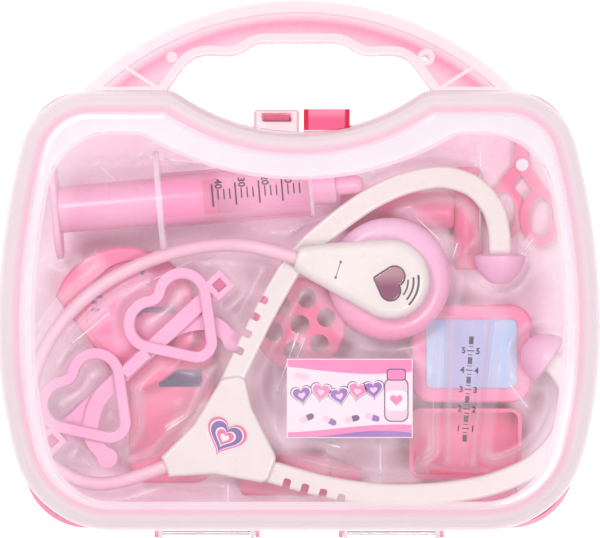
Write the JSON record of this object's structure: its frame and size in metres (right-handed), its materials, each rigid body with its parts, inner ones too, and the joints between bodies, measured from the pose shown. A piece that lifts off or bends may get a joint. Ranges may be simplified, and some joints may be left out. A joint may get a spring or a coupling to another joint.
{
  "type": "toy doctor case",
  "caption": "Clear-lidded carrying case with an arched handle, two latches and a packed toy doctor set: syringe, stethoscope, glasses, cup, box and smaller toys.",
  "frame": {"origin": "under the middle of the closed case, on the face that it lies on", "axes": "+Z from the pink back to the clear lid, +Y from the hinges to the carrying handle, +X along the hinge axis"},
  "size_m": [0.2622, 0.2354, 0.062],
  "materials": {
    "case_pink": "gloss",
    "lid_clear": "clear gloss",
    "tray_clear": "clear gloss",
    "pin_steel": "bright",
    "barrel_clear": "clear gloss",
    "toy_pink": "satin gloss",
    "seal_rubber": "matte",
    "white_plastic": "satin gloss",
    "tube_pink": "satin",
    "chest_pink": "gloss",
    "lens_plum": "clear gloss",
    "badge_print": "printed film",
    "board_green": "matte",
    "speaker_black": "matte",
    "box_print": "printed card",
    "packed_pink": "gloss",
    "card_print": "printed card",
    "display_blue": "gloss",
    "dial_white": "printed",
    "pointer_plum": "gloss"
  },
  "bodies": {
    "root": {"back_shell": "case_pink", "hinge_pins": "pin_steel", "blister_tray": "tray_clear", "syringe_barrel": "barrel_clear", "syringe_nozzle": "toy_pink", "syringe_cap": "toy_pink", "ear_arm_upper": "white_plastic", "ear_arm_lower": "white_plastic", "ear_tip_upper": "toy_pink", "ear_tip_lower": "toy_pink", "yoke_front": "white_plastic", "yoke_back": "white_plastic", "yoke_screws": "pin_steel", "yoke_badge": "badge_print", "acoustic_tube": "tube_pink", "chest_housing": "chest_pink", "chest_back_cover": "chest_pink", "chest_cover": "white_plastic", "sound_board": "board_green", "switch_pad": "seal_rubber", "speaker": "speaker_black", "button_cells": "pin_steel", "glasses_front": "toy_pink", "temple_right": "toy_pink", "temple_left": "toy_pink", "medicine_box": "box_print", "medicine_box_flaps": "box_print", "measuring_cup": "barrel_clear", "picture_frame": "packed_pink", "picture_card": "card_print", "thermometer_body": "packed_pink", "thermometer_display": "display_blue", "pulse_meter_body": "packed_pink", "pulse_meter_dial": "dial_white", "perforated_cap": "packed_pink", "small_dish": "packed_pink", "tongue_spatula": "packed_pink", "otoscope_handle": "packed_pink", "otoscope_cone": "packed_pink", "reflex_hammer_handle": "packed_pink", "reflex_hammer_head": "packed_pink", "scissors_lower": "packed_pink", "scissors_rivet": "pin_steel"},
    "lid": {"lid_shell": "lid_clear"},
    "lid_latch": {"latch_tongue_back": "lid_clear"},
    "back_latch": {"latch_tongue_front": "case_pink"},
    "plunger": {"syringe_plunger": "toy_pink", "syringe_seal": "seal_rubber"},
    "button": {"heart_button": "lens_plum"},
    "pointer": {"pulse_meter_pointer": "pointer_plum"},
    "scissors": {"scissors_upper": "packed_pink"}
  },
  "joints": [
    {"name": "lid_hinge", "type": "hinge", "parent": "root", "child": "lid", "pos_m": [0, -0.1157, 0.031], "axis": [1, 0, 0], "range_deg": [0, 180]},
    {"name": "back_latch_flex", "type": "hinge", "parent": "root", "child": "back_latch", "pos_m": [-0.0099, 0.0672, 0.013], "axis": [-1, 0, 0], "range_deg": [0, 2.2], "stiffness_Nm_per_rad": 0.05},
    {"name": "lid_latch_flex", "type": "hinge", "parent": "lid", "child": "lid_latch", "pos_m": [0.012, 0.0672, 0.0493], "axis": [1, 0, 0], "range_deg": [0, 2.2], "stiffness_Nm_per_rad": 0.05},
    {"name": "plunger_slide", "type": "slide", "parent": "root", "child": "plunger", "axis": [0.9963, 0.0854, 0], "range_m": [-0.005, 0.0395]},
    {"name": "heart_button_press", "type": "slide", "parent": "root", "child": "button", "axis": [0, 0, -1], "range_m": [0, 0.0012], "stiffness_N_per_m": 300},
    {"name": "pointer_turn", "type": "hinge", "parent": "root", "child": "pointer", "pos_m": [-0.072, -0.0175, 0.0262], "axis": [0, 0, 1], "range_deg": [-135, 135]},
    {"name": "scissors_open", "type": "hinge", "parent": "root", "child": "scissors", "pos_m": [0.0995, 0.047, 0.008], "axis": [0, 0, 1], "range_deg": [0, 6]}
  ]
}
